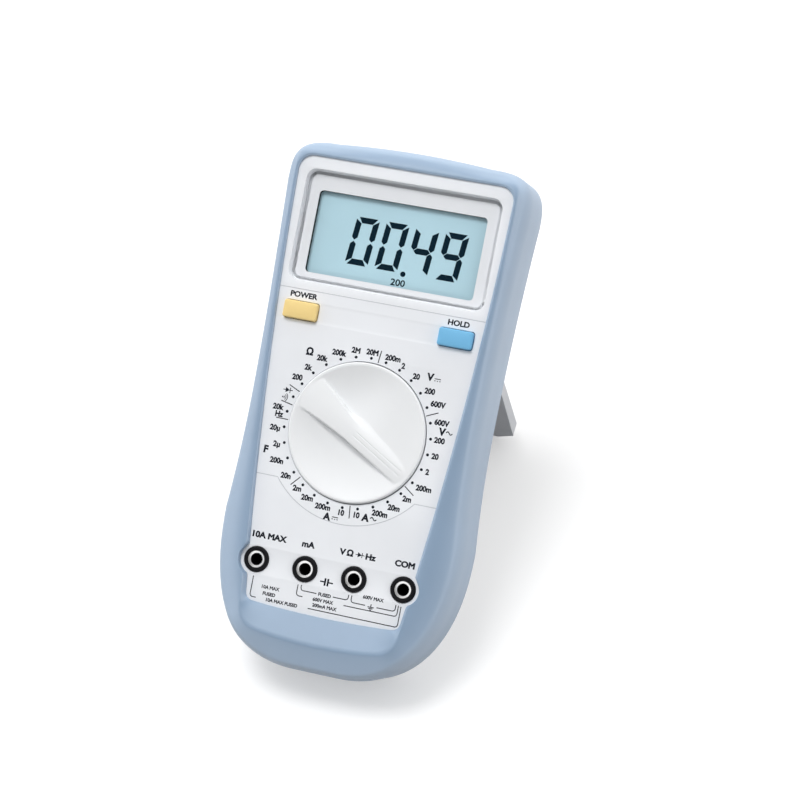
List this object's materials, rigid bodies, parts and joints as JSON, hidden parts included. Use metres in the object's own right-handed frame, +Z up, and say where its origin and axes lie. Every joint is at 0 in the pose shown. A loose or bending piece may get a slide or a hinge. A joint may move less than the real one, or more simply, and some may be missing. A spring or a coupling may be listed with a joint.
{
  "type": "digital multimeter",
  "caption": "Handheld digital multimeter in a blue rubber boot, with a display, a turning range dial, push buttons and input sockets, leaning back on its folding rear stand.",
  "frame": {"origin": "on the surface the meter stands on, under the middle of its bounding box", "axes": "+X to the right across the face, -Y towards the person using it, +Z up"},
  "size_m": [0.094, 0.1664, 0.1568],
  "materials": {
    "boot_rubber": "soft moulded elastomer, fine matte texture",
    "case_plastic": "fine-textured moulded ABS",
    "button_yellow": "moulded, slightly glossy",
    "button_blue": "moulded, slightly glossy",
    "black_plastic": "moulded, satin",
    "nickel_plate": "nickel-plated turned brass",
    "steel": "zinc-plated steel",
    "spring_bronze": "stamped spring bronze",
    "clear_acrylic": "clear acrylic window",
    "display_glass": "grey-green liquid-crystal glass",
    "board_green": "green solder resist",
    "elastomer": "striped contact elastomer",
    "fuse_ceramic": "glazed ceramic tube",
    "battery_jacket": "wrapped metal can",
    "lead_red": "PVC wire insulation"
  },
  "bodies": {
    "root": {"back_case": "case_plastic", "battery": "battery_jacket", "battery_cover": "case_plastic", "battery_cover_screw": "steel", "battery_lead_black": "black_plastic", "battery_lead_red": "lead_red", "battery_snap": "black_plastic", "boot": "boot_rubber", "buzzer": "black_plastic", "capacitor_1": "black_plastic", "capacitor_2": "black_plastic", "case_screw_1": "steel", "case_screw_2": "steel", "case_screw_3": "steel", "case_screw_4": "steel", "circuit_board": "board_green", "common_collar": "black_plastic", "common_socket": "nickel_plate", "milliamp_collar": "black_plastic", "milliamp_socket": "nickel_plate", "ten_amp_collar": "black_plastic", "ten_amp_socket": "nickel_plate", "volt_ohm_collar": "black_plastic", "volt_ohm_socket": "nickel_plate", "contact_strip_low": "elastomer", "contact_strip_top": "elastomer", "converter_chip": "black_plastic", "current_shunt": "spring_bronze", "display_frame": "case_plastic", "display_glass": "display_glass", "display_lens": "clear_acrylic", "front_case": "case_plastic", "hold_switch": "black_plastic", "power_switch": "black_plastic", "milliamp_fuse": "fuse_ceramic", "milliamp_fuse_clip_1": "spring_bronze", "milliamp_fuse_clip_2": "spring_bronze", "ten_amp_fuse": "fuse_ceramic", "ten_amp_fuse_clip_1": "spring_bronze", "ten_amp_fuse_clip_2": "spring_bronze"},
    "dial": {"range_knob": "case_plastic", "switch_rotor": "black_plastic", "wiper_contact_1": "spring_bronze", "wiper_contact_2": "spring_bronze", "wiper_contact_3": "spring_bronze", "detent_ball_1": "steel", "detent_ball_2": "steel", "detent_spring_1": "steel", "detent_spring_2": "steel", "knob_screw": "steel"},
    "power_key": {"power_button": "button_yellow", "power_plunger": "case_plastic"},
    "hold_key": {"hold_button": "button_blue", "hold_plunger": "case_plastic"},
    "stand": {"tilt_stand": "case_plastic"}
  },
  "joints": [
    {"name": "dial_turn", "type": "hinge", "parent": "root", "child": "dial", "pos_m": [0, -0.02078, 0.0845], "axis": [0, -0.7044, 0.7098], "continuous": true},
    {"name": "power_press", "type": "slide", "parent": "root", "child": "power_key", "axis": [0, 0.7044, -0.7098], "range_m": [0, 0.002], "stiffness_N_per_m": 600, "springref_m": -0.002},
    {"name": "hold_press", "type": "slide", "parent": "root", "child": "hold_key", "axis": [0, 0.7044, -0.7098], "range_m": [0, 0.002], "stiffness_N_per_m": 600, "springref_m": -0.002},
    {"name": "stand_fold", "type": "hinge", "parent": "root", "child": "stand", "pos_m": [0, 0.03429, 0.0997], "axis": [1, 0, 0], "range_deg": [-68.9, 0]}
  ]
}
